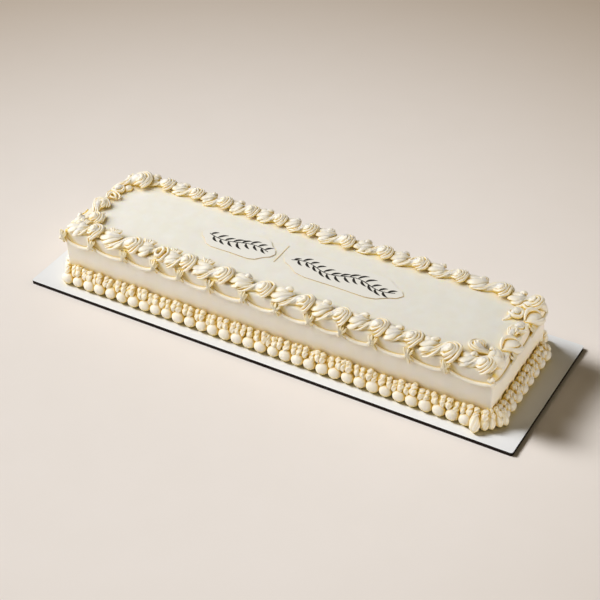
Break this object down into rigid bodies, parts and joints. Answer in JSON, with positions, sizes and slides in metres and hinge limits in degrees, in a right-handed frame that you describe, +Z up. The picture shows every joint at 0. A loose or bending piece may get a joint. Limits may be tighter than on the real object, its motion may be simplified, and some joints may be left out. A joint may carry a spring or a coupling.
{
  "type": "wedding cake",
  "caption": "Long rectangular wedding cake iced in ivory buttercream on its thin board, with piped scroll borders, hanging swags, a beaded base and thin sugar plaques.",
  "frame": {"origin": "centre of the board's underside", "axes": "+X along the long side, +Y to the back, +Z up; the front of the cake faces -Y"},
  "size_m": [0.68, 0.218, 0.0922],
  "materials": {
    "board": "smooth white face with a dark burnt edge",
    "buttercream": "smooth ivory buttercream, satin",
    "piped_buttercream": "piped ivory buttercream, satin",
    "sugar_paper": "matt edible paper"
  },
  "bodies": {
    "root": {"board": "board", "iced_cake": "buttercream", "top_border_front": "piped_buttercream", "top_border_back": "piped_buttercream", "top_border_left": "piped_buttercream", "top_border_right": "piped_buttercream", "swags_front": "piped_buttercream", "swags_back": "piped_buttercream", "swags_left": "piped_buttercream", "swags_right": "piped_buttercream", "base_beads_front": "piped_buttercream", "base_beads_back": "piped_buttercream", "base_beads_left": "piped_buttercream", "base_beads_right": "piped_buttercream", "base_shells_front": "piped_buttercream", "base_shells_back": "piped_buttercream", "base_shells_left": "piped_buttercream", "base_shells_right": "piped_buttercream", "plaque_left": "sugar_paper", "plaque_right": "sugar_paper"}
  },
  "joints": []
}
